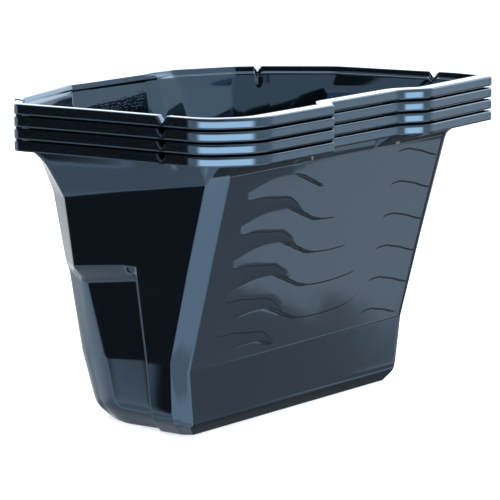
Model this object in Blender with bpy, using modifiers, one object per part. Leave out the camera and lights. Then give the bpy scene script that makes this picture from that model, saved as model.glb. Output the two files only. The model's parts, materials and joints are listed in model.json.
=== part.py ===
"""Stack of four nested bucket liners.

Each liner is one thin thermoformed sheet: a turned-down skirt, a flat rim flange, a small inner
shoulder and a deep tapered cup.  Z is up, the stack stands on Z = 0 and is centred on the rim.
Side names: near = -Y long side, far = +Y long side, left = -X end, right = +X end.
Corner tables are in millimetres and run counter-clockwise seen from above.
"""
import math

import bmesh
import bpy

MM = 0.001

# Driving dimensions (millimetres)
LINER_NAMES = ("bottom_liner", "second_liner", "third_liner", "top_liner")
NEST_PITCH = 9.5
LINER_HEIGHT = 231.5
SHEET = 0.4
SKIRT_HEIGHT = 8.0
EDGE_ROUND = 2.0
NEAR_FLANGE = 13.0
LEFT_FLANGE = 7.0
FAR_FLANGE = 18.0
FAR_LEFT_FLANGE = 10.0
FAR_RIGHT_FLANGE = 17.0
RIGHT_FLANGE = 9.0
SHOULDER_DROP = 4.6
SHOULDER_SLOPE = 1.0
LEDGE_WIDTH = 2.4
LEDGE_DROP = 0.7
NOTCH_HALF_WIDTH = 4.0
NOTCH_DEPTH = 5.0
SMOKY_BLACK = (0.012, 0.018, 0.028, 1.0)

# Points along each corner's rounding, and the most of an edge that one rounding or notch half may take
BIG_ROUND = 4
SMALL_ROUND = 2
ROUND_SHARE = 0.45
NOTCH_SHARE = 0.3

SMALLEST_RADIUS = 1.0
# Edges that turn less than this (sine of the angle) are inset straight, not by crossing lines.
NEARLY_STRAIGHT = 0.05
SHARP_ANGLE = math.radians(25)

# Rim outline, outer face of the skirt: name, x, y, corner radius, points along the rounding.
RIM = (
    ("left_near", -166.0, -99.0, 38.0, BIG_ROUND),
    ("near_left", -131.0, -127.0, 48.0, BIG_ROUND),
    ("near_jog_out", -41.0, -127.0, 2.5, SMALL_ROUND),
    ("near_jog_in", -27.0, -114.5, 2.5, SMALL_ROUND),
    ("near_step_in", 63.0, -114.5, 22.0, SMALL_ROUND),
    ("near_step_out", 85.0, -128.0, 22.0, SMALL_ROUND),
    ("near_right", 189.0, -122.0, 10.0, BIG_ROUND),
    ("right_near", 190.0, -86.0, 12.0, BIG_ROUND),
    ("right_far", 162.0, 40.0, 40.0, BIG_ROUND),
    ("far_right_a", 136.0, 75.0, 30.0, SMALL_ROUND),
    ("far_right_b", 110.0, 100.0, 30.0, SMALL_ROUND),
    ("far_right_c", 57.0, 127.0, 30.0, BIG_ROUND),
    ("far_jog_out", 37.0, 127.0, 2.5, SMALL_ROUND),
    ("far_jog_in", 27.0, 120.5, 2.5, SMALL_ROUND),
    ("far_step_in", -70.0, 120.5, 12.0, SMALL_ROUND),
    ("far_step_out", -84.0, 129.5, 14.0, SMALL_ROUND),
    ("far_left", -155.0, 99.0, 24.0, BIG_ROUND),
    ("left_far", -188.0, 70.0, 12.0, BIG_ROUND),
    ("recess_far", -177.0, -4.0, 0.5, 1),
    ("recess_near", -176.0, -12.0, 0.5, 1),
)
NAMES = tuple(row[0] for row in RIM)
STEPS = tuple(row[4] for row in RIM)

# V notches in the rim: corner that starts the edge, place along that edge.
NOTCHES = (("recess_near", 0.7), ("right_near", 0.18), ("far_right_a", 0.3), ("far_left", 0.4))

# Far-side corners of the flange's inner edge and of the shoulder under it, where they leave the
# rim's own line: x, y at the flange and x, y at the ledge.
FAR_OPENING = {
    "far_jog_out": (26.0, 109.0, 25.5, 105.0), "far_jog_in": (12.0, 107.5, 12.0, 106.3),
    "far_step_in": (-55.0, 108.0, -56.0, 106.8), "far_step_out": (-76.0, 109.0, -77.0, 107.8),
}

# Cup sections from the top down: x, y, height above the base, corner radius.
# The near jog corners are not repeated: below the shoulder the near wall is flat.
UNDER_FLANGE = {
    "left_near": (-150.8, -90, 214, 8), "near_left": (-131, -96, 214, 10),
    "near_right": (160, -96, 214, 14), "right_near": (173.8, -78, 214, 16),
    "right_far": (150, 19.8, 214, 24), "far_right_a": (119, 59.2, 214, 20),
    "far_right_b": (97, 81.5, 214, 20), "far_right_c": (56.5, 101.5, 214, 20),
    "far_jog_out": (27, 101.5, 214, 2.5), "far_jog_in": (12, 104.5, 214, 2.5),
    "far_step_in": (-60, 104.5, 214, 10), "far_step_out": (-80, 104.5, 214, 10),
    "far_left": (-142.3, 85.4, 214, 14), "left_far": (-172, 52, 214, 8),
    "recess_far": (-163.2, -6, 214, 0.5), "recess_near": (-162.2, -14, 214, 0.5),
}
CREASE = {
    "left_near": (-147.5, -87, 208, 2), "near_left": (-130, -95, 210, 2),
    "near_right": (158.5, -95, 210, 14), "right_near": (172.9, -77, 206, 16),
    "right_far": (148.8, 19.4, 200, 24), "far_right_a": (117.3, 57.2, 196, 20),
    "far_right_b": (95, 78.5, 192, 20), "far_right_c": (56, 95, 188, 20),
    "far_jog_out": (27, 95, 188, 2.5), "far_jog_in": (12, 101, 188, 2.5),
    "far_step_in": (-62, 101, 184, 10), "far_step_out": (-82, 100.5, 182, 10),
    "far_left": (-134.6, 78.5, 186, 14), "left_far": (-162, 42, 187.5, 2),
    "recess_far": (-156.9, -6, 195.5, 0.5), "recess_near": (-156, -14, 197, 0.5),
}
RECESS_TOP = {
    "left_near": (-142, -64, 136, 2), "near_left": (-130, -75, 134.5, 2),
    "near_right": (157, -75, 134.5, 14), "right_near": (163.2, -60, 134.5, 12),
    "right_far": (143.4, 18, 134, 24), "far_right_a": (113.5, 52, 134, 20),
    "far_right_b": (90.5, 71.5, 134, 20), "far_right_c": (55, 86.5, 134, 20),
    "far_jog_out": (27, 86.5, 134, 2.5), "far_jog_in": (12, 93, 134, 2.5),
    "far_step_in": (-64, 93, 134, 10), "far_step_out": (-84, 92.5, 133, 10),
    "far_left": (-128.5, 71, 129.5, 14), "left_far": (-154.3, 39.5, 131, 2),
    "recess_far": (-149.3, -10.5, 136.5, 0.5), "recess_near": (-148.3, -18.5, 137, 0.5),
}
RECESS_BOTTOM = {
    "left_near": (-141, -61, 126.5, 2), "near_left": (-130, -73, 126.5, 2),
    "near_right": (156.5, -73, 126.5, 13), "right_near": (162.1, -58.5, 126.5, 12),
    "right_far": (142.8, 17.5, 126, 24), "far_right_a": (112.8, 51, 126, 20),
    "far_right_b": (89.8, 70.3, 126, 20), "far_right_c": (54.8, 85, 126, 20),
    "far_jog_out": (27, 85, 126, 2.5), "far_jog_in": (12, 91.7, 126, 2.5),
    "far_step_in": (-64, 91.7, 126, 10), "far_step_out": (-84, 91, 125, 10),
    "far_left": (-127, 69.8, 122, 16), "left_far": (-139, 43, 119, 24),
    "recess_far": (-140, -11, 126, 0.5), "recess_near": (-147.2, -18.6, 127.5, 0.5),
}
KINK = {
    "left_near": (-134.6, -40.5, 62.5, 2), "near_left": (-130, -54.5, 55.7, 2),
    "near_right": (154, -54.5, 55.7, 4), "right_near": (153.3, -46, 56, 4),
    "right_far": (137.9, 15, 56, 22), "far_right_a": (107.5, 44.5, 56, 18),
    "far_right_b": (85, 62, 56, 18), "far_right_c": (53, 75, 56, 18),
    "far_jog_out": (27, 75, 56, 2.5), "far_jog_in": (12, 81.5, 56, 2.5),
    "far_step_in": (-60, 81.5, 56, 10), "far_step_out": (-80, 80.5, 56, 10),
    "far_left": (-119.5, 66, 56, 30), "left_far": (-131, 36, 58, 70),
    "recess_far": (-130, -12, 61, 0.5), "recess_near": (-137.3, -19.6, 61, 0.5),
}
WALL_FOOT = {
    "left_near": (-127.5, -36, 14, 3), "near_left": (-119, -49, 10, 3),
    "near_right": (150.8, -50.5, 9, 3), "right_near": (149.3, -44, 9, 3),
    "right_far": (134, 13.2, 10, 20), "far_right_a": (103.5, 40.5, 10, 16),
    "far_right_b": (82, 57, 10, 16), "far_right_c": (52, 69, 10, 16),
    "far_jog_out": (27, 69, 10, 2.5), "far_jog_in": (12, 75, 10, 2.5),
    "far_step_in": (-54, 75, 10, 10), "far_step_out": (-72, 73.5, 10, 10),
    "far_left": (-108.5, 61, 12, 28), "left_far": (-121, 34, 14, 110),
    "recess_far": (-119.5, -8.5, 13, 0.5), "recess_near": (-127.5, -16.5, 13, 0.5),
}
BASE = {
    "left_near": (-111, -32, SHEET, 3), "near_left": (-106, -40, SHEET, 3),
    "near_right": (143, -44.5, SHEET, 5), "right_near": (143.5, -37, SHEET, 5),
    "right_far": (126, 11, SHEET, 22), "far_right_a": (97, 35, SHEET, 15),
    "far_right_b": (77, 50, SHEET, 15), "far_right_c": (49, 61, SHEET, 15),
    "far_jog_out": (27, 61, SHEET, 2.5), "far_jog_in": (12, 66, SHEET, 2.5),
    "far_step_in": (-48, 66, SHEET, 10), "far_step_out": (-64, 64.5, SHEET, 10),
    "far_left": (-97, 54, SHEET, 24), "left_far": (-109, 30, SHEET, 90),
    "recess_far": (-106, -5, SHEET, 0.5), "recess_near": (-112, -12, SHEET, 0.5),
}
CUP_SECTIONS = (UNDER_FLANGE, CREASE, RECESS_TOP, RECESS_BOTTOM, KINK, WALL_FOOT, BASE)

# Where the near jog corners sit on the flat near wall, by X.
NEAR_JOG_X = {"near_jog_out": -52.0, "near_jog_in": -27.0, "near_step_in": 55.0, "near_step_out": 90.0}
JOG_RADIUS = 2.5


def clear_scene():
    for item in list(bpy.data.objects):
        bpy.data.objects.remove(item, do_unlink=True)


def flange_widths():
    """Flange width for the edge that starts at each rim corner."""
    special = {
        "near_right": RIGHT_FLANGE, "right_near": RIGHT_FLANGE,
        "right_far": FAR_RIGHT_FLANGE, "far_right_a": FAR_RIGHT_FLANGE, "far_step_out": FAR_LEFT_FLANGE,
    }
    widths = []
    for name in NAMES:
        if name in special:
            widths.append(special[name])
        elif name in ("far_left", "left_far", "recess_far", "recess_near", "left_near"):
            widths.append(LEFT_FLANGE)
        elif name.startswith("far"):
            widths.append(FAR_FLANGE)
        else:
            widths.append(NEAR_FLANGE)
    return widths


def far_opening(corners, step):
    """Put the far-side corners of an opening ring on the opening's own line."""
    for name, places in FAR_OPENING.items():
        index = NAMES.index(name)
        x, y = places[2 * step:2 * step + 2]
        corners[index] = (x, y, corners[index][2], JOG_RADIUS)
    return corners


def inset_rim(distances, height):
    """Rim corners with each edge moved inward by its own distance."""
    edges = []
    for index, row in enumerate(RIM):
        x0, y0 = row[1:3]
        x1, y1 = RIM[(index + 1) % len(RIM)][1:3]
        length = math.hypot(x1 - x0, y1 - y0)
        dx, dy = (x1 - x0) / length, (y1 - y0) / length
        edges.append((x0 - dy * distances[index], y0 + dx * distances[index], dx, dy))
    corners = []
    for index, row in enumerate(RIM):
        before, after = edges[index - 1], edges[index]
        mean = (distances[index - 1] + distances[index]) / 2
        turn = before[2] * after[3] - before[3] * after[2]
        if abs(turn) < NEARLY_STRAIGHT:
            x = row[1] - (before[3] + after[3]) / 2 * mean
            y = row[2] + (before[2] + after[2]) / 2 * mean
            corners.append((x, y, height, row[3]))
            continue
        reach = ((after[0] - before[0]) * after[3] - (after[1] - before[1]) * after[2]) / turn
        x = before[0] + before[2] * reach
        y = before[1] + before[3] * reach
        radius = row[3] - mean if turn > 0 else row[3] + mean
        corners.append((x, y, height, max(radius, SMALLEST_RADIUS)))
    return corners


def cup_corners(section):
    """All the corners of one cup section, near jog corners included, in the rim's order."""
    x0, y0, z0, _ = section["near_left"]
    x1, y1, z1, _ = section["near_right"]
    corners = []
    for name in NAMES:
        if name in section:
            corners.append(section[name])
        else:
            x = NEAR_JOG_X[name]
            part = (x - x0) / (x1 - x0)
            corners.append((x, y0 + (y1 - y0) * part, z0 + (z1 - z0) * part, JOG_RADIUS))
    return corners


def round_corner(before, corner, after, count):
    """Points along one rounded corner, as a quadratic curve between its tangent points."""
    x, y, z, radius = corner
    legs = [(before[0] - x, before[1] - y), (after[0] - x, after[1] - y)]
    lengths = [math.hypot(*leg) for leg in legs]
    units = [(leg[0] / size, leg[1] / size) for leg, size in zip(legs, lengths)]
    cosine = units[0][0] * units[1][0] + units[0][1] * units[1][1]
    half = math.acos(max(-1.0, min(1.0, cosine))) / 2
    tangent = min(radius / math.tan(half), ROUND_SHARE * min(lengths))
    first = (x + units[0][0] * tangent, y + units[0][1] * tangent)
    last = (x + units[1][0] * tangent, y + units[1][1] * tangent)
    points = []
    for step in range(count):
        t = step / (count - 1) if count > 1 else 0.5
        px = (1 - t) ** 2 * first[0] + 2 * t * (1 - t) * x + t * t * last[0]
        py = (1 - t) ** 2 * first[1] + 2 * t * (1 - t) * y + t * t * last[1]
        points.append((px, py, z))
    return points


def outline(corners, notch_depth):
    """One closed ring of points: rounded corners, with three points for each rim notch."""
    count = len(corners)
    arcs = []
    for index, corner in enumerate(corners):
        after = corners[(index + 1) % count]
        arcs.append(round_corner(corners[index - 1], corner, after, STEPS[index]))
    notches = {NAMES.index(name): place for name, place in NOTCHES}
    points = []
    for index, arc in enumerate(arcs):
        points += arc
        if index in notches:
            start, end = arc[-1], arcs[(index + 1) % count][0]
            span = math.hypot(end[0] - start[0], end[1] - start[1])
            half = min(NOTCH_HALF_WIDTH / span, NOTCH_SHARE)
            for side in (-1, 0, 1):
                part = notches[index] + side * half
                x, y, z = (start[axis] + (end[axis] - start[axis]) * part for axis in range(3))
                points.append((x, y, z - (0 if side else notch_depth)))
    return points


def liner_rings():
    """The sheet's outer surface from the skirt's lower edge, over the rim and down to the base."""
    widths = flange_widths()
    count = len(RIM)
    top = LINER_HEIGHT
    shoulder = [width + SHOULDER_SLOPE for width in widths]
    ledge = [width + LEDGE_WIDTH for width in shoulder]
    rings = [
        outline(inset_rim([0.0] * count, top - SKIRT_HEIGHT), 0.0),
        outline(inset_rim([0.0] * count, top - EDGE_ROUND), NOTCH_DEPTH),
        outline(inset_rim([EDGE_ROUND] * count, top), NOTCH_DEPTH),
        outline(far_opening(inset_rim(widths, top), 0), NOTCH_DEPTH),
        outline(far_opening(inset_rim(shoulder, top - SHOULDER_DROP), 1), NOTCH_DEPTH / 2),
        outline(far_opening(inset_rim(ledge, top - SHOULDER_DROP - LEDGE_DROP), 1), NOTCH_DEPTH / 2),
    ]
    rings += [outline(cup_corners(section), 0.0) for section in CUP_SECTIONS]
    return rings


def liner_mesh():
    """Loft the rings into one open surface, closed by a flat base."""
    mesh = bpy.data.meshes.new("liner_sheet")
    build = bmesh.new()
    rings = liner_rings()
    rim_x = [point[0] for point in rings[0]]
    rim_y = [point[1] for point in rings[0]]
    middle_x = (min(rim_x) + max(rim_x)) / 2
    middle_y = (min(rim_y) + max(rim_y)) / 2
    rows = []
    for ring in rings:
        places = [((x - middle_x) * MM, (y - middle_y) * MM, z * MM) for x, y, z in ring]
        rows.append([build.verts.new(place) for place in places])
    for upper, lower in zip(rows, rows[1:]):
        for index in range(len(upper)):
            following = (index + 1) % len(upper)
            build.faces.new((upper[index], lower[index], lower[following], upper[following]))
    build.faces.new(list(reversed(rows[-1])))
    bmesh.ops.recalc_face_normals(build, faces=build.faces)
    build.to_mesh(mesh)
    build.free()
    return mesh


def plastic(name):
    material = bpy.data.materials.new(name)
    material.use_nodes = True
    shader = material.node_tree.nodes["Principled BSDF"]
    shader.inputs["Base Color"].default_value = SMOKY_BLACK
    shader.inputs["Metallic"].default_value = 0.0
    shader.inputs["Roughness"].default_value = 0.12
    material.diffuse_color = SMOKY_BLACK
    return material


def add_liner(name, level, mesh, collection):
    liner = bpy.data.objects.new(name, mesh)
    collection.objects.link(liner)
    liner.location.z = level * NEST_PITCH * MM
    sheet = liner.modifiers.new("sheet", "SOLIDIFY")
    sheet.thickness = SHEET * MM
    sheet.offset = -1.0
    sheet.use_even_offset = True
    sheet.use_quality_normals = True
    liner.material_slots[0].link = "OBJECT"
    liner.material_slots[0].material = plastic(name + "_plastic")
    return liner


def main():
    clear_scene()
    collection = bpy.data.collections.new("bucket_liner_stack")
    bpy.context.scene.collection.children.link(collection)
    mesh = liner_mesh()
    mesh.materials.append(None)
    mesh.shade_smooth()
    mesh.set_sharp_from_angle(angle=SHARP_ANGLE)
    for level, name in enumerate(LINER_NAMES):
        add_liner(name, level, mesh, collection)


main()
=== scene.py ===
"""Looks for the bucket liner stack: detailed liners, smoky gloss plastic, studio and camera."""

import json
import math

import bmesh
import bpy
import numpy as np
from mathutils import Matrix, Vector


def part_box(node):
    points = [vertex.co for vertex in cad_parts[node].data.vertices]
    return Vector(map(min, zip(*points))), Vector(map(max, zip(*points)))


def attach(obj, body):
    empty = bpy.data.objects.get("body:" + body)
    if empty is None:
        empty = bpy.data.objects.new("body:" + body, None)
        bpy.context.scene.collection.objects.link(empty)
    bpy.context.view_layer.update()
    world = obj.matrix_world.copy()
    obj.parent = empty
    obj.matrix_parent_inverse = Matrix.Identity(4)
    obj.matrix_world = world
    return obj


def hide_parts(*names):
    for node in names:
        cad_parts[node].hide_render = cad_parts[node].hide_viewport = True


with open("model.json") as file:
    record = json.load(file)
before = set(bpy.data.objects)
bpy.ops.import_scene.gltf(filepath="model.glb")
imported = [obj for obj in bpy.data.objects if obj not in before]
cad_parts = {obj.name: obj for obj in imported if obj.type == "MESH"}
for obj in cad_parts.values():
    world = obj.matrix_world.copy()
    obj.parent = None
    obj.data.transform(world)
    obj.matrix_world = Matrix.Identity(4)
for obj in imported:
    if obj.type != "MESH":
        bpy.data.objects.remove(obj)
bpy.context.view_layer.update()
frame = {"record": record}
MM = 0.001
WELD = 0.00001
HEIGHT = 231.5
SHEET = 0.4
NAMES = ("bottom_liner", "second_liner", "third_liner", "top_liner")

# ---------------------------------------------------------------- liner sections (millimetres)
# The rim's outer edge, seen from above: name, x, y, corner radius, points along the rounding
RIM = (
    ("left_near", -166.0, -99.0, 38.0, 12), ("near_left", -131.0, -127.0, 48.0, 12),
    ("near_jog_out", -41.0, -127.0, 2.5, 5), ("near_jog_in", -27.0, -114.5, 2.5, 5),
    ("near_step_in", 63.0, -114.5, 22.0, 8), ("near_step_out", 85.0, -128.0, 22.0, 8),
    ("near_right", 189.0, -122.0, 10.0, 9), ("right_near", 190.0, -86.0, 12.0, 8),
    ("right_far", 162.0, 40.0, 40.0, 10), ("far_right_a", 136.0, 75.0, 30.0, 7),
    ("far_right_b", 110.0, 100.0, 30.0, 7), ("far_right_c", 57.0, 127.0, 30.0, 9),
    ("far_jog_out", 37.0, 127.0, 2.5, 5), ("far_jog_in", 27.0, 120.5, 2.5, 5),
    ("far_step_in", -70.0, 120.5, 12.0, 6), ("far_step_out", -84.0, 129.5, 14.0, 6),
    ("far_left", -155.0, 99.0, 24.0, 10), ("left_far", -188.0, 70.0, 12.0, 8),
    ("recess_far", -177.0, -4.0, 0.5, 3), ("recess_near", -176.0, -12.0, 0.5, 3),
)
CORNERS = tuple(row[0] for row in RIM)
# Width of the flat flange along the edge that starts at each corner
FLANGE = {
    "near_right": 9.0, "right_near": 9.0, "right_far": 17.0, "far_right_a": 17.0, "far_right_b": 18.0,
    "far_right_c": 18.0, "far_jog_out": 18.0, "far_jog_in": 18.0, "far_step_in": 18.0, "far_step_out": 10.0,
    "far_left": 7.0, "left_far": 7.0, "recess_far": 7.0, "recess_near": 7.0, "left_near": 7.0,
}
NEAR_FLANGE = 13.0

# The skirt, the rounded edge at the top of it and the lip of the opening
SKIRT_DROPS = (8.0, 6.5, 5.0, 3.5)
EDGE_RADIUS = 2.0
EDGE_STEPS = 7
FLAT_PARTS = (0.25, 0.5, 0.75, 1.0)
FLAT_OVERHANG = -0.8
# How far each ring is in from the flange, how far below the top it is, and 1 once past the far jogs' lip
LIP = ((-0.25, 0.2, 0), (0.0, 0.8, 0), (0.5, 2.6, 1), (0.9, 4.1, 1), (1.2, 4.5, 1), (1.7, 4.7, 1))
SHOULDER = ((3.1, 5.2), (3.4, 5.4))
# A notch fades out over this much of the skirt
SKIRT_FADE = 6.0

# The first ring of the lip, and the ring at the first cup section (CUP_START)
LIP_START = len(SKIRT_DROPS) + EDGE_STEPS + len(FLAT_PARTS)
# Rings down the cup between its sections, and the folds to round: first ring, last ring, passes
ROWS = (8, 5, 52, 6, 50, 30, 14)
CUP_START = LIP_START + len(LIP) + len(SHOULDER) + ROWS[0] - 1
FOLDS = ((23, 126, 2), (160, 183, 16))

# Corners of the opening on the far side: x, y at the lip, then x, y below it
FAR_OPENING = {
    "far_jog_out": (26.0, 109.0, 25.5, 105.0), "far_jog_in": (12.0, 107.5, 12.0, 106.3),
    "far_step_in": (-55.0, 108.0, -56.0, 106.8), "far_step_out": (-76.0, 109.0, -77.0, 107.8),
}
# Sections of the cup from the top down: x, y, z, corner radius
UNDER_FLANGE = {
    "left_near": (-150.8, -90, 214, 8), "near_left": (-131, -96, 214, 10),
    "near_right": (160, -96, 214, 14), "right_near": (173.8, -78, 214, 16),
    "right_far": (150, 19.8, 214, 24), "far_right_a": (119, 59.2, 214, 20),
    "far_right_b": (97, 81.5, 214, 20), "far_right_c": (56.5, 101.5, 214, 20),
    "far_jog_out": (27, 101.5, 214, 2.5), "far_jog_in": (12, 104.5, 214, 2.5),
    "far_step_in": (-60, 104.5, 214, 10), "far_step_out": (-80, 104.5, 214, 10),
    "far_left": (-142.3, 85.4, 214, 14), "left_far": (-172, 52, 214, 8),
    "recess_far": (-163.2, -6, 214, 0.5), "recess_near": (-162.2, -14, 214, 0.5),
}
CREASE = {
    "left_near": (-147.5, -87, 208, 2), "near_left": (-130, -95, 210, 2),
    "near_right": (158.5, -95, 210, 14), "right_near": (172.9, -77, 206, 16),
    "right_far": (148.8, 19.4, 200, 24), "far_right_a": (117.3, 57.2, 196, 20),
    "far_right_b": (95, 78.5, 192, 20), "far_right_c": (56, 95, 188, 20),
    "far_jog_out": (27, 95, 188, 2.5), "far_jog_in": (12, 101, 188, 2.5),
    "far_step_in": (-62, 101, 184, 10), "far_step_out": (-82, 100.5, 182, 10),
    "far_left": (-134.6, 78.5, 186, 14), "left_far": (-162, 42, 187.5, 2),
    "recess_far": (-156.9, -6, 195.5, 0.5), "recess_near": (-156, -14, 197, 0.5),
}
RECESS_TOP = {
    "left_near": (-142, -64, 136, 2), "near_left": (-130, -75, 134.5, 2),
    "near_right": (157, -75, 134.5, 14), "right_near": (163.2, -60, 134.5, 12),
    "right_far": (143.4, 18, 134, 24), "far_right_a": (113.5, 52, 134, 20),
    "far_right_b": (90.5, 71.5, 134, 20), "far_right_c": (55, 86.5, 134, 20),
    "far_jog_out": (27, 86.5, 134, 2.5), "far_jog_in": (12, 93, 134, 2.5),
    "far_step_in": (-64, 93, 134, 10), "far_step_out": (-84, 92.5, 133, 10),
    "far_left": (-128.5, 71, 129.5, 14), "left_far": (-154.3, 39.5, 131, 2),
    "recess_far": (-149.3, -10.5, 136.5, 0.5), "recess_near": (-148.3, -18.5, 137, 0.5),
}
RECESS_BOTTOM = {
    "left_near": (-141, -61, 126.5, 2), "near_left": (-130, -73, 126.5, 2),
    "near_right": (156.5, -73, 126.5, 13), "right_near": (162.1, -58.5, 126.5, 12),
    "right_far": (142.8, 17.5, 126, 24), "far_right_a": (112.8, 51, 126, 20),
    "far_right_b": (89.8, 70.3, 126, 20), "far_right_c": (54.8, 85, 126, 20),
    "far_jog_out": (27, 85, 126, 2.5), "far_jog_in": (12, 91.7, 126, 2.5),
    "far_step_in": (-64, 91.7, 126, 10), "far_step_out": (-84, 91, 125, 10),
    "far_left": (-127, 69.8, 122, 16), "left_far": (-139, 43, 119, 24),
    "recess_far": (-140, -11, 126, 0.5), "recess_near": (-147.2, -18.6, 127.5, 0.5),
}
KINK = {
    "left_near": (-134.6, -40.5, 62.5, 2), "near_left": (-130, -54.5, 55.7, 2),
    "near_right": (154, -54.5, 55.7, 4), "right_near": (153.3, -46, 56, 4),
    "right_far": (137.9, 15, 56, 22), "far_right_a": (107.5, 44.5, 56, 18),
    "far_right_b": (85, 62, 56, 18), "far_right_c": (53, 75, 56, 18),
    "far_jog_out": (27, 75, 56, 2.5), "far_jog_in": (12, 81.5, 56, 2.5),
    "far_step_in": (-60, 81.5, 56, 10), "far_step_out": (-80, 80.5, 56, 10),
    "far_left": (-119.5, 66, 56, 30), "left_far": (-131, 36, 58, 70),
    "recess_far": (-130, -12, 61, 0.5), "recess_near": (-137.3, -19.6, 61, 0.5),
}
WALL_FOOT = {
    "left_near": (-127.5, -36, 14, 3), "near_left": (-119, -49, 10, 3),
    "near_right": (150.8, -50.5, 9, 3), "right_near": (149.3, -44, 9, 3),
    "right_far": (134, 13.2, 10, 20), "far_right_a": (103.5, 40.5, 10, 16),
    "far_right_b": (82, 57, 10, 16), "far_right_c": (52, 69, 10, 16),
    "far_jog_out": (27, 69, 10, 2.5), "far_jog_in": (12, 75, 10, 2.5),
    "far_step_in": (-54, 75, 10, 10), "far_step_out": (-72, 73.5, 10, 10),
    "far_left": (-108.5, 61, 12, 28), "left_far": (-121, 34, 14, 110),
    "recess_far": (-119.5, -8.5, 13, 0.5), "recess_near": (-127.5, -16.5, 13, 0.5),
}
BASE = {
    "left_near": (-111, -32, SHEET, 3), "near_left": (-106, -40, SHEET, 3),
    "near_right": (143, -44.5, SHEET, 5), "right_near": (143.5, -37, SHEET, 5),
    "right_far": (126, 11, SHEET, 22), "far_right_a": (97, 35, SHEET, 15),
    "far_right_b": (77, 50, SHEET, 15), "far_right_c": (49, 61, SHEET, 15),
    "far_jog_out": (27, 61, SHEET, 2.5), "far_jog_in": (12, 66, SHEET, 2.5),
    "far_step_in": (-48, 66, SHEET, 10), "far_step_out": (-64, 64.5, SHEET, 10),
    "far_left": (-97, 54, SHEET, 24), "left_far": (-109, 30, SHEET, 90),
    "recess_far": (-106, -5, SHEET, 0.5), "recess_near": (-112, -12, SHEET, 0.5),
}
CUP_SECTIONS = (UNDER_FLANGE, CREASE, RECESS_TOP, RECESS_BOTTOM, KINK, WALL_FOOT, BASE)

# Where the near jog corners sit on the flat near wall, by X.
NEAR_JOG_X = {"near_jog_out": -52.0, "near_jog_in": -27.0, "near_step_in": 55.0, "near_step_out": 90.0}
JOG_RADIUS = 2.5

# Limits that keep corners and notches within their edges
NEARLY_STRAIGHT = 0.05
SMALLEST_RADIUS = 1.0
SHARPEST = 0.001
ROUND_SHARE = 0.45
NOTCH_SHARE = 0.9

# V notches: the edge they are on and their place along it, then their shape in millimetres
NOTCHES = {"recess_near": 0.70, "right_near": 0.18, "far_right_a": 0.30, "far_left": 0.40}
NOTCH_OFFSETS = (-9.0, -5.5, -4.2, -3.2, -1.6, -0.5, 0.5, 1.6, 3.2, 4.2, 5.5, 9.0)
NOTCH_FLOOR = 0.5
NOTCH_HALF = 4.2
NOTCH_DEPTH = 5.0
SHOULDER_NOTCH = 2.4
GROOVE_DEPTH = 2.2
GROOVE_FOOT = 214.0
GROOVE_RISE = 14.0
NO_NOTCH = 99.0
# Points along the longer edges, or on each side of an edge's notch (the other edges have one)
EDGE_POINTS = {
    "near_left": 25, "near_jog_in": 25, "near_step_in": 4, "near_step_out": 25, "near_jog_out": 4,
    "recess_near": 7, "left_far": 7, "right_near": 7, "far_jog_in": 10, "far_right_c": 4,
}

# Wave ribs on the near wall, in millimetres
RIB_TOP = 197.0
RIB_PITCH = 27.4
RIB_RELIEF = 0.25
# The stretch of wall with ribs: x from and to, z from and to
RIB_SPAN = (-126.0, 20.0)
RIB_ROWS = (60.0, 206.0)
# How the floor of a hollow and the side of a crease lean, as an addition to the wall's normal
HOLLOW_TILT = (-0.032, 0.0, 0.0)
CREASE_TILT = (0.0, 0.0, -0.45)
# Along x: the height of a rib's lower edge, the width of a rib and the width of the crease below it
WAVE_START = -130.0
WAVE_SPAN = 300.0
RIB_EDGE = (
    (-130, -5), (-103, 0), (-84, 5), (-68, 7.3), (-52, 7.2), (-41, 5), (-22, -2), (-2, -8),
    (20, -9.6), (45, -9), (62, -7), (84, 4), (98, 9.3), (112, 7.5), (146, -1), (170, -5),
)
RIB_WIDTH = (
    (-130, -4), (-105.5, -4), (-103.5, 5.5), (-100, 8), (-84, 12.5), (-66, 17.3), (-47, 19),
    (-31, 23.6), (-22, 27), (-14, 30), (170, 30),
)
CREASE_WIDTH = (
    (-130, 0), (-56, 0), (-44, 1.8), (-30, 3.3), (-16, 3.0), (-4, 1.9), (6, 0.8), (60, 0.5),
    (86, 0.2), (94, 0.9), (140, 1.1), (146, 0.6), (150, 0), (170, 0),
)
# Above the top rib the wall is plain, and goes as dark as a hollow from the first x to the second
PLAIN_FADE = (-34.0, -74.0)
# The creases end near x = CREASE_END + CREASE_SLANT * z. Short marks of them show again past MARKS_FROM.
CREASE_END = 158.5
CREASE_SLANT = -0.9
CREASE_FADE = 8.0
MARKS_FROM = (87.0, 92.0)
# Where the rib pattern starts: how far the wall faces the near side, then its top and its foot
WALL_FACING = (-0.9, -0.94)
PATTERN_TOP = (211.5, 210.5)
PATTERN_FOOT = (60.0, 66.0)

# Fine pips on the inset panel of the far wall, in millimetres
PIP_SPAN = (-50.0, 6.0)
PIP_ROWS = (180.0, 219.0)
PIP_FADE = 3.0
PIP_PITCH = 2.4
PIP_RADIUS = 1.0
PIP_HEIGHT = 0.12
PIP_WALL = (80.0, 84.0)

# The plastic: tint of the gloss, colours, and the heights of its bumps in millimetres
GLOSS_TINT = (0.42, 0.69, 1.0, 1.0)
SMOKE_DARK = (0.0018, 0.0026, 0.0040, 1.0)
SMOKE_LIGHT = (0.0030, 0.0042, 0.0060, 1.0)
SMOKE_SCALE = 9.0
ROUGHNESS = (0.03, 0.07)
UNEVEN_SCALE = 16.0
UNEVEN_HEIGHT = 0.06
HOLLOW_HEIGHT = 0.10


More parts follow.
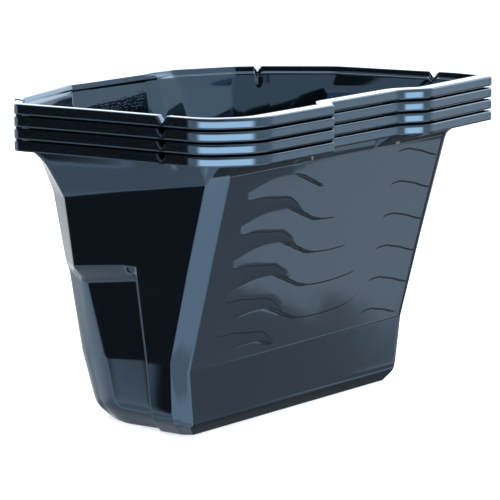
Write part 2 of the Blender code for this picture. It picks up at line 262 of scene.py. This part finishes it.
def inset_rim(distances, height):
    """The rim's corners, with each edge moved in by its own distance."""
    edges = []
    for index, row in enumerate(RIM):
        x0, y0 = row[1:3]
        x1, y1 = RIM[(index + 1) % len(RIM)][1:3]
        length = math.hypot(x1 - x0, y1 - y0)
        dx, dy = (x1 - x0) / length, (y1 - y0) / length
        edges.append((x0 - dy * distances[index], y0 + dx * distances[index], dx, dy))
    corners = []
    for index, row in enumerate(RIM):
        before, after = edges[index - 1], edges[index]
        mean = (distances[index - 1] + distances[index]) / 2
        turn = before[2] * after[3] - before[3] * after[2]
        if abs(turn) < NEARLY_STRAIGHT:
            x = row[1] - (before[3] + after[3]) / 2 * mean
            y = row[2] + (before[2] + after[2]) / 2 * mean
            corners.append((x, y, height, row[3]))
            continue
        reach = ((after[0] - before[0]) * after[3] - (after[1] - before[1]) * after[2]) / turn
        x, y = before[0] + before[2] * reach, before[1] + before[3] * reach
        radius = row[3] - mean if turn > 0 else row[3] + mean
        corners.append((x, y, height, max(radius, SMALLEST_RADIUS)))
    return corners


def opening(extra, height, step):
    """Corners of the opening inside the flange. Step 0 is the lip of the far jogs and 1 is below it."""
    corners = inset_rim([FLANGE.get(name, NEAR_FLANGE) + extra for name in CORNERS], height)
    for name, places in FAR_OPENING.items():
        x, y = places[2 * step:2 * step + 2]
        corners[CORNERS.index(name)] = (x, y, height, JOG_RADIUS)
    return corners


def cup_corners(section):
    """Corners of one cup section. The near jog's corners lie on the flat near wall."""
    x0, y0, z0, _ = section["near_left"]
    x1, y1, z1, _ = section["near_right"]
    corners = []
    for name in CORNERS:
        if name in section:
            corners.append(section[name])
        else:
            x = NEAR_JOG_X[name]
            part = (x - x0) / (x1 - x0)
            corners.append((x, y0 + (y1 - y0) * part, z0 + (z1 - z0) * part, JOG_RADIUS))
    return corners


def arc(before, corner, after, count):
    """Points of a rounded corner."""
    x, y, z, radius = corner
    legs = [(before[0] - x, before[1] - y), (after[0] - x, after[1] - y)]
    lengths = [math.hypot(*leg) for leg in legs]
    units = [(leg[0] / size, leg[1] / size) for leg, size in zip(legs, lengths)]
    cosine = units[0][0] * units[1][0] + units[0][1] * units[1][1]
    half = math.acos(max(-1.0, min(1.0, cosine))) / 2
    tangent = min(radius / max(math.tan(half), SHARPEST), ROUND_SHARE * min(lengths))
    first = (x + units[0][0] * tangent, y + units[0][1] * tangent)
    last = (x + units[1][0] * tangent, y + units[1][1] * tangent)
    points = []
    for step in range(count):
        t = step / (count - 1)
        px = (1 - t) ** 2 * first[0] + 2 * t * (1 - t) * x + t * t * last[0]
        py = (1 - t) ** 2 * first[1] + 2 * t * (1 - t) * y + t * t * last[1]
        points.append((px, py, z))
    return points


def edge_places(name, span):
    """Points along an edge: the place, and the distance from the middle of a notch (or NO_NOTCH)."""
    count = EDGE_POINTS.get(name, 1)
    steps = [step / (count + 1) for step in range(1, count + 1)]
    if name not in NOTCHES:
        # The first point stays close to the corner
        steps[0] = 1 / (2 * count + 1)
        return [(step, NO_NOTCH) for step in steps]
    middle = NOTCHES[name]
    room = NOTCH_SHARE * min(middle, 1.0 - middle) * span
    scale = min(1.0, room / NOTCH_OFFSETS[-1])
    notch = [(middle + offset * scale / span, offset) for offset in NOTCH_OFFSETS]
    low, high = notch[0][0], notch[-1][0]
    before = [(low * step, NO_NOTCH) for step in steps]
    after = [(high + (1 - high) * step, NO_NOTCH) for step in steps]
    return before + notch + after


def outline(corners):
    """A ring of points, and for each its distance from the middle of a notch (or NO_NOTCH)."""
    count = len(corners)
    arcs = [arc(corners[i - 1], corners[i], corners[(i + 1) % count], RIM[i][4]) for i in range(count)]
    points, offsets = [], []
    for index, piece in enumerate(arcs):
        points += piece
        offsets += [NO_NOTCH] * len(piece)
        start, end = piece[-1], arcs[(index + 1) % count][0]
        span = math.hypot(end[0] - start[0], end[1] - start[1])
        for place, offset in edge_places(CORNERS[index], span):
            points.append(tuple(start[axis] + (end[axis] - start[axis]) * place for axis in range(3)))
            offsets.append(offset)
    return np.array(points), np.array(offsets)


def notch_drop(offsets, depth):
    inside = np.clip((NOTCH_HALF - np.abs(offsets)) / (NOTCH_HALF - NOTCH_FLOOR), 0.0, 1.0)
    return depth * inside


def smooth(value):
    value = np.clip(value, 0.0, 1.0)
    return value * value * (3 - 2 * value)


def rim_rings():
    """Rings from the skirt's lower edge up, over the flange and down to the shoulder of the opening."""
    rings = []
    for drop in SKIRT_DROPS:
        points, offsets = outline(inset_rim([0.0] * len(RIM), HEIGHT - drop))
        points[:, 2] -= notch_drop(offsets, NOTCH_DEPTH) * (SKIRT_DROPS[0] - drop) / SKIRT_FADE
        rings.append(points)
    for step in range(EDGE_STEPS):
        angle = math.pi / 2 * step / (EDGE_STEPS - 1)
        inset = EDGE_RADIUS * (1 - math.cos(angle))
        height = HEIGHT - EDGE_RADIUS + EDGE_RADIUS * math.sin(angle)
        points, offsets = outline(inset_rim([inset] * len(RIM), height))
        points[:, 2] -= notch_drop(offsets, NOTCH_DEPTH)
        rings.append(points)
    outer = rings[-1]
    inner, offsets = outline(opening(FLAT_OVERHANG, HEIGHT, 0))
    for part in FLAT_PARTS:
        ring = outer + (inner - outer) * part
        ring[:, 2] = HEIGHT - notch_drop(offsets, NOTCH_DEPTH)
        rings.append(ring)
    for extra, drop, step in LIP:
        points, offsets = outline(opening(extra, HEIGHT - drop, step))
        points[:, 2] -= notch_drop(offsets, NOTCH_DEPTH - drop * 0.5)
        rings.append(points)
    for extra, drop in SHOULDER:
        points, offsets = outline(opening(extra, HEIGHT - drop, 1))
        points[:, 2] -= notch_drop(offsets, SHOULDER_NOTCH)
        rings.append(points)
    outward = outer[:, :2] - inner[:, :2]
    outward /= np.linalg.norm(outward, axis=1)[:, None]
    return rings, outward, offsets


def liner_rings():
    """Rings of the sheet's upper surface, from the skirt's lower edge to the base."""
    rings, outward, offsets = rim_rings()
    chain = [rings[-1]] + [outline(cup_corners(section))[0] for section in CUP_SECTIONS]
    for index, count in enumerate(ROWS):
        upper, lower = chain[index], chain[index + 1]
        for step in range(count):
            rings.append(upper + (lower - upper) * ((step + 1) / count))
    groove = GROOVE_DEPTH * notch_drop(offsets, 1.0)[:, None]
    for ring in rings[LIP_START:CUP_START + 1]:
        ring[:, :2] += outward * groove * smooth((ring[:, 2:3] - GROOVE_FOOT) / GROOVE_RISE)
    return rings


def soften(rings):
    """Round the folds between cup sections, down the columns."""
    stack = np.array(rings)
    for first, last, passes in FOLDS:
        for _ in range(passes):
            inner = stack[first:last]
            neighbours = stack[first - 1:last - 1] + stack[first + 1:last + 1]
            stack[first:last] = inner * 0.5 + neighbours * 0.25
    return stack


def rib_relief(stack):
    """Hollows between the wave ribs, pressed into the near wall."""
    x, y, z = stack[..., 0], stack[..., 1], stack[..., 2]
    left, right = RIB_SPAN
    foot, head = RIB_ROWS
    near = (y < -30) & (x > left) & (x < right) & (z > foot) & (z < head)
    near[:CUP_START] = False
    below = RIB_TOP + RIB_PITCH + np.interp(x, *zip(*RIB_EDGE)) - z
    depth = np.mod(below, RIB_PITCH)
    width = np.interp(x, *zip(*RIB_WIDTH))
    hollow = smooth((depth - width) / 4.0 + 0.5) * smooth((RIB_PITCH - depth) / 4.0)
    hollow = np.where(x < -106, 1.0, hollow) * smooth((x + 102.0) / 32.0)
    hollow = hollow * smooth((z - foot) / 12.0) * smooth((head - z) / 8.0)
    stack[..., 1] += np.where(near, RIB_RELIEF * hollow, 0.0)
    return stack


def liner_mesh():
    stack = rib_relief(soften(liner_rings()))
    centre = (stack[0, :, :2].min(0) + stack[0, :, :2].max(0)) / 2
    stack[..., :2] -= centre
    rows, columns = stack.shape[:2]
    verts = (stack.reshape(-1, 3) * MM).tolist()
    faces = []
    for row in range(rows - 1):
        for column in range(columns):
            following = (column + 1) % columns
            upper, lower = row * columns, (row + 1) * columns
            faces.append((lower + column, lower + following, upper + following, upper + column))
    faces.append(tuple((rows - 1) * columns + column for column in range(columns)))
    mesh = bpy.data.meshes.new("liner_detail")
    mesh.from_pydata(verts, [], faces)
    build = bmesh.new()
    build.from_mesh(mesh)
    bmesh.ops.remove_doubles(build, verts=build.verts, dist=WELD)
    bmesh.ops.recalc_face_normals(build, faces=build.faces)
    build.to_mesh(mesh)
    build.free()
    mesh.shade_smooth()
    return mesh


class ShaderMaths:
    """Sums and soft steps in one node tree. A value is a number or a socket."""

    def __init__(self, tree):
        self.nodes, self.links = tree.nodes, tree.links

    def feed(self, socket, value):
        if isinstance(value, (int, float)):
            socket.default_value = value
        else:
            self.links.new(value, socket)

    def calc(self, operation, first, second=0.0):
        node = self.nodes.new("ShaderNodeMath")
        node.operation = operation
        self.feed(node.inputs[0], first)
        self.feed(node.inputs[1], second)
        return node.outputs[0]

    def ramp(self, value, start, end, low=0.0, high=1.0):
        node = self.nodes.new("ShaderNodeMapRange")
        node.interpolation_type = "SMOOTHSTEP"
        for name, number in (("From Min", start), ("From Max", end), ("To Min", low), ("To Max", high)):
            node.inputs[name].default_value = number
        self.feed(node.inputs["Value"], value)
        return node.outputs["Result"]

    def mixed(self, factor, first, second):
        node = self.nodes.new("ShaderNodeMix")
        self.feed(node.inputs["Factor"], factor)
        self.feed(node.inputs[2], first)
        self.feed(node.inputs[3], second)
        return node.outputs[0]


class Pattern(ShaderMaths):
    """Shader maths on the liner's own coordinates, in millimetres."""

    def __init__(self, material):
        super().__init__(material.node_tree)
        coords = self.nodes.new("ShaderNodeTexCoord")
        self.place = coords.outputs["Object"]
        split = self.nodes.new("ShaderNodeSeparateXYZ")
        self.links.new(self.place, split.inputs[0])
        self.x, self.y, self.z = (self.calc("MULTIPLY", out, 1000.0) for out in split.outputs)
        facing = self.nodes.new("ShaderNodeSeparateXYZ")
        self.links.new(coords.outputs["Normal"], facing.inputs[0])
        self.facing_y = facing.outputs[1]

    def curve(self, points, low, high):
        """A height that follows x, through (x, height) points."""
        along = self.calc("DIVIDE", self.calc("ADD", self.x, -WAVE_START), WAVE_SPAN)
        node = self.nodes.new("ShaderNodeFloatCurve")
        self.feed(node.inputs["Value"], along)
        line = node.mapping.curves[0]
        places = [((x - WAVE_START) / WAVE_SPAN, (height - low) / (high - low)) for x, height in points]
        line.points[0].location = places[0]
        line.points[-1].location = places[-1]
        for place in places[1:-1]:
            line.points.new(*place)
        node.mapping.update()
        return self.calc("ADD", self.calc("MULTIPLY", node.outputs[0], high - low), low)

    def tilted(self, leans):
        """The surface normal, leaned by each (amount, direction)."""
        geometry = self.nodes.new("ShaderNodeNewGeometry")
        total = geometry.outputs["Normal"]
        for amount, direction in leans:
            turned = self.nodes.new("ShaderNodeVectorTransform")
            turned.vector_type = "VECTOR"
            turned.convert_from = "OBJECT"
            turned.convert_to = "WORLD"
            turned.inputs[0].default_value = direction
            scaled = self.nodes.new("ShaderNodeVectorMath")
            scaled.operation = "SCALE"
            self.links.new(turned.outputs[0], scaled.inputs[0])
            self.links.new(amount, scaled.inputs["Scale"])
            added = self.nodes.new("ShaderNodeVectorMath")
            self.links.new(total, added.inputs[0])
            self.links.new(scaled.outputs[0], added.inputs[1])
            total = added.outputs[0]
        unit = self.nodes.new("ShaderNodeVectorMath")
        unit.operation = "NORMALIZE"
        self.links.new(total, unit.inputs[0])
        return unit.outputs[0]

    def between(self, value, low, high, soft):
        """1 where a value lies between two limits, falling softly to 0 outside them."""
        return self.calc("MULTIPLY", self.ramp(value, low - soft, low), self.ramp(value, high + soft, high))

    def dots(self, pitch, radius):
        """Round pips in an uneven grid, as a height from 0 to 1."""
        node = self.nodes.new("ShaderNodeTexVoronoi")
        node.inputs["Scale"].default_value = 1000.0 / pitch
        node.inputs["Randomness"].default_value = 0.6
        self.links.new(self.place, node.inputs["Vector"])
        return self.ramp(node.outputs["Distance"], radius / pitch, 0.0)

    def noise(self, scale, detail):
        node = self.nodes.new("ShaderNodeTexNoise")
        node.inputs["Scale"].default_value = scale
        node.inputs["Detail"].default_value = detail
        self.links.new(self.place, node.inputs["Vector"])
        return node.outputs["Fac"]


def rib_masks(pattern):
    """How far a place is in a hollow between the ribs, and how far in a crease along their edges."""
    edge = pattern.curve(RIB_EDGE, -15.0, 15.0)
    width = pattern.curve(RIB_WIDTH, -5.0, 31.0)
    crease = pattern.curve(CREASE_WIDTH, 0.0, 4.0)
    below = pattern.calc("SUBTRACT", pattern.calc("ADD", edge, RIB_TOP + RIB_PITCH), pattern.z)
    depth = pattern.calc("MODULO", below, RIB_PITCH)
    hollow = pattern.ramp(pattern.calc("SUBTRACT", depth, width), -0.5, 0.5)
    above = pattern.ramp(below, RIB_PITCH + 0.5, RIB_PITCH - 0.5)
    plain = pattern.ramp(pattern.x, *PLAIN_FADE)
    hollow = pattern.calc("MULTIPLY", hollow, pattern.calc("SUBTRACT", 1.0, above))
    hollow = pattern.calc("ADD", hollow, pattern.calc("MULTIPLY", above, plain))
    nearest = pattern.calc("MINIMUM", depth, pattern.calc("SUBTRACT", RIB_PITCH, depth))
    half = pattern.calc("MULTIPLY", crease, 0.5)
    line = pattern.ramp(pattern.calc("SUBTRACT", nearest, half), 0.35, -0.35)
    line = pattern.calc("MULTIPLY", line, pattern.ramp(crease, 0.1, 0.8))
    reach = pattern.calc("ADD", pattern.calc("MULTIPLY", pattern.z, CREASE_SLANT), CREASE_END)
    shown = pattern.ramp(pattern.calc("SUBTRACT", pattern.x, reach), CREASE_FADE, -CREASE_FADE)
    shown = pattern.calc("MAXIMUM", shown, pattern.ramp(pattern.x, *MARKS_FROM))
    line = pattern.calc("MULTIPLY", line, shown)
    wall = pattern.ramp(pattern.facing_y, *WALL_FACING)
    wall = pattern.calc("MULTIPLY", wall, pattern.ramp(pattern.z, *PATTERN_TOP))
    wall = pattern.calc("MULTIPLY", wall, pattern.ramp(pattern.z, *PATTERN_FOOT))
    return pattern.calc("MULTIPLY", hollow, wall), pattern.calc("MULTIPLY", line, wall)


def pip_height(pattern):
    """Fine raised pips on the far wall's inset panel, in millimetres."""
    across = pattern.between(pattern.x, *PIP_SPAN, PIP_FADE)
    down = pattern.between(pattern.z, *PIP_ROWS, PIP_FADE)
    panel = pattern.calc("MULTIPLY", across, pattern.ramp(pattern.y, *PIP_WALL))
    panel = pattern.calc("MULTIPLY", panel, down)
    pips = pattern.calc("MULTIPLY", pattern.dots(PIP_PITCH, PIP_RADIUS), panel)
    return pattern.calc("MULTIPLY", pips, PIP_HEIGHT)


def smoky_plastic():
    """Near-black smoky gloss, faintly uneven, with the ribs' leans and the pips' bump."""
    material = bpy.data.materials.new("smoky_gloss_plastic")
    material.use_nodes = True
    pattern = Pattern(material)
    nodes, links = material.node_tree.nodes, material.node_tree.links
    shader = nodes["Principled BSDF"]
    shader.inputs["IOR"].default_value = 1.75
    shader.inputs["Specular IOR Level"].default_value = 1.0
    shader.inputs["Specular Tint"].default_value = GLOSS_TINT
    hollow, line = rib_masks(pattern)
    smoke = pattern.noise(SMOKE_SCALE, 3.0)
    ramp = nodes.new("ShaderNodeValToRGB")
    ramp.color_ramp.elements[0].position = 0.3
    ramp.color_ramp.elements[0].color = SMOKE_DARK
    ramp.color_ramp.elements[1].position = 0.75
    ramp.color_ramp.elements[1].color = SMOKE_LIGHT
    links.new(smoke, ramp.inputs["Fac"])
    links.new(ramp.outputs["Color"], shader.inputs["Base Color"])
    links.new(pattern.ramp(smoke, 0.2, 0.8, *ROUGHNESS), shader.inputs["Roughness"])
    waves = pattern.calc("MULTIPLY", pattern.noise(UNEVEN_SCALE, 2.0), UNEVEN_HEIGHT)
    height = pattern.calc("SUBTRACT", waves, pattern.calc("MULTIPLY", hollow, HOLLOW_HEIGHT))
    height = pattern.calc("ADD", height, pip_height(pattern))
    bump = nodes.new("ShaderNodeBump")
    bump.inputs["Strength"].default_value = 1.0
    bump.inputs["Distance"].default_value = MM
    links.new(height, bump.inputs["Height"])
    links.new(pattern.tilted(((hollow, HOLLOW_TILT), (line, CREASE_TILT))), bump.inputs["Normal"])
    links.new(bump.outputs["Normal"], shader.inputs["Normal"])
    return material


def add_liners():
    mesh = liner_mesh()
    material = smoky_plastic()
    mesh.materials.append(material)
    bodies = frame["record"]["behaviour"]["bodies"]
    for name in NAMES:
        low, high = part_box(name)
        liner = bpy.data.objects.new(name + "_sheet", mesh.copy())
        bpy.context.scene.collection.objects.link(liner)
        liner.location = ((low.x + high.x) / 2, (low.y + high.y) / 2, low.z)
        sheet = liner.modifiers.new("sheet", "SOLIDIFY")
        sheet.thickness = SHEET * MM
        sheet.offset = -1.0
        sheet.use_even_offset = False
        body = next(key for key, members in bodies.items() if name in members)
        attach(liner, body)
        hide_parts(name)


class Studio(ShaderMaths):
    """Soft surroundings by compass direction and height, as seen in the gloss."""

    def __init__(self, world):
        world.use_nodes = True
        super().__init__(world.node_tree)
        coords = self.nodes.new("ShaderNodeTexCoord")
        split = self.nodes.new("ShaderNodeSeparateXYZ")
        self.links.new(coords.outputs["Generated"], split.inputs[0])
        x, y, z = split.outputs
        degrees = 180.0 / math.pi
        self.azimuth = self.calc("MULTIPLY", self.calc("ARCTAN2", y, x), degrees)
        self.height = self.calc("MULTIPLY", self.calc("ARCSINE", z), degrees)
        self.level = ROOM_LEVEL

    def window(self, middle, half, soft, low, high, soft_height):
        """1 inside a patch of the surroundings, falling softly to 0 outside it."""
        turned = self.calc("WRAP", self.calc("SUBTRACT", self.azimuth, middle), 180.0)
        turned.node.inputs[2].default_value = -180.0
        across = self.calc("ABSOLUTE", turned)
        side = self.calc("SUBTRACT", 1.0, self.ramp(across, half - soft / 2, half + soft / 2))
        above = self.ramp(self.height, low - soft_height / 2, low + soft_height / 2)
        below = self.ramp(self.height, high - soft_height / 2, high + soft_height / 2)
        return self.calc("MULTIPLY", side, self.calc("MULTIPLY", above, self.calc("SUBTRACT", 1.0, below)))

    def patch(self, brightness, *window):
        self.level = self.mixed(self.window(*window), self.level, brightness)


ROOM_LEVEL = 0.82
# Patches of the room, later over earlier:
# brightness, compass middle, half width, softness, lowest, highest, softness up and down (degrees)
SURROUNDINGS = (
    (3.0, 25.0, 50.0, 20.0, 4.0, 95.0, 6.0),
    (0.1, 120.0, 32.0, 8.0, 15.0, 95.0, 10.0),
    (0.85, -84.0, 22.0, 8.0, 8.0, 30.0, 4.0),
    (0.5, 210.0, 48.0, 20.0, 3.0, 30.0, 6.0),
    (0.02, 205.0, 42.0, 6.0, 18.0, 50.0, 2.0),
    (1.12, -37.0, 12.0, 4.0, -13.0, 3.0, 2.0),
    (0.95, 80.0, 40.0, 10.0, -28.0, 0.0, 6.0),
    (0.45, 80.0, 40.0, 10.0, -70.0, -30.0, 6.0),
    (0.02, 143.0, 17.0, 6.0, -31.5, 50.0, 5.0),
    (0.52, 143.0, 17.0, 6.0, -60.0, -34.5, 4.0),
    (4.6, 227.0, 42.0, 16.0, -22.0, -3.0, 4.0),
    (1.3, 250.0, 68.0, 14.0, -60.0, -26.0, 4.0),
    (0.32, -39.3, 6.0, 0.8, -26.0, -13.5, 1.0),
    (0.32, -38.0, 7.1, 0.8, -34.0, -20.2, 0.5),
    (0.32, -34.5, 4.9, 0.6, -25.5, -20.2, 0.5),
    (0.34, -28.0, 7.0, 3.0, -34.0, -27.62, 0.3),
    (0.34, -27.15, 0.6, 0.2, -34.0, -27.0, 0.2),
    (0.25, -28.5, 3.5, 0.6, -23.4, -20.0, 0.4),
    (0.2, -13.0, 12.7, 0.8, -40.0, -20.5, 1.0),
    (0.14, 0.0, 40.0, 10.0, -90.0, -33.0, 3.0),
)
# What lights the floor and shows behind the object: everything but glossy rays
FLOOR_LIGHT = 1.7
FLOOR_HALF = 6.0

# The camera, in metres and degrees
CAMERA_PLACE = (-1.8742, -1.4762, 0.5642)
CAMERA_TILT = 10.39
CAMERA_TURN = -52.0
CAMERA_LENS = 216.0


def studio():
    mesh = bpy.data.meshes.new("floor")
    signs = ((-1, -1), (1, -1), (1, 1), (-1, 1))
    mesh.from_pydata([(x * FLOOR_HALF, y * FLOOR_HALF, 0) for x, y in signs], [], [(0, 1, 2, 3)])
    floor = bpy.data.objects.new("floor", mesh)
    bpy.context.scene.collection.objects.link(floor)
    paper = bpy.data.materials.new("pale_paper")
    paper.use_nodes = True
    shader = paper.node_tree.nodes["Principled BSDF"]
    shader.inputs["Base Color"].default_value = (0.9, 0.9, 0.9, 1)
    shader.inputs["Roughness"].default_value = 0.9
    shader.inputs["Specular IOR Level"].default_value = 0.1
    shader.inputs["Emission Color"].default_value = (1, 1, 1, 1)
    shader.inputs["Emission Strength"].default_value = 0.5
    mesh.materials.append(paper)
    floor.visible_glossy = False
    world = bpy.data.worlds.new("studio_world")
    bpy.context.scene.world = world
    room = Studio(world)
    for patch in SURROUNDINGS:
        room.patch(*patch)
    path = room.nodes.new("ShaderNodeLightPath")
    strength = room.mixed(path.outputs["Is Glossy Ray"], FLOOR_LIGHT, room.level)
    background = room.nodes["Background"]
    background.inputs["Color"].default_value = (0.97, 0.985, 1.0, 1)
    room.links.new(strength, background.inputs["Strength"])
    bpy.context.scene.view_settings.view_transform = "Standard"


def photo_camera():
    camera = bpy.data.cameras.new("photo_camera")
    camera.sensor_width = 36.0
    camera.lens = CAMERA_LENS
    camera.clip_end = 50.0
    item = bpy.data.objects.new("photo_camera", camera)
    bpy.context.scene.collection.objects.link(item)
    item.location = CAMERA_PLACE
    item.rotation_euler = (math.radians(90.0 - CAMERA_TILT), 0.0, math.radians(CAMERA_TURN))
    bpy.context.scene.camera = item


add_liners()
studio()
photo_camera()
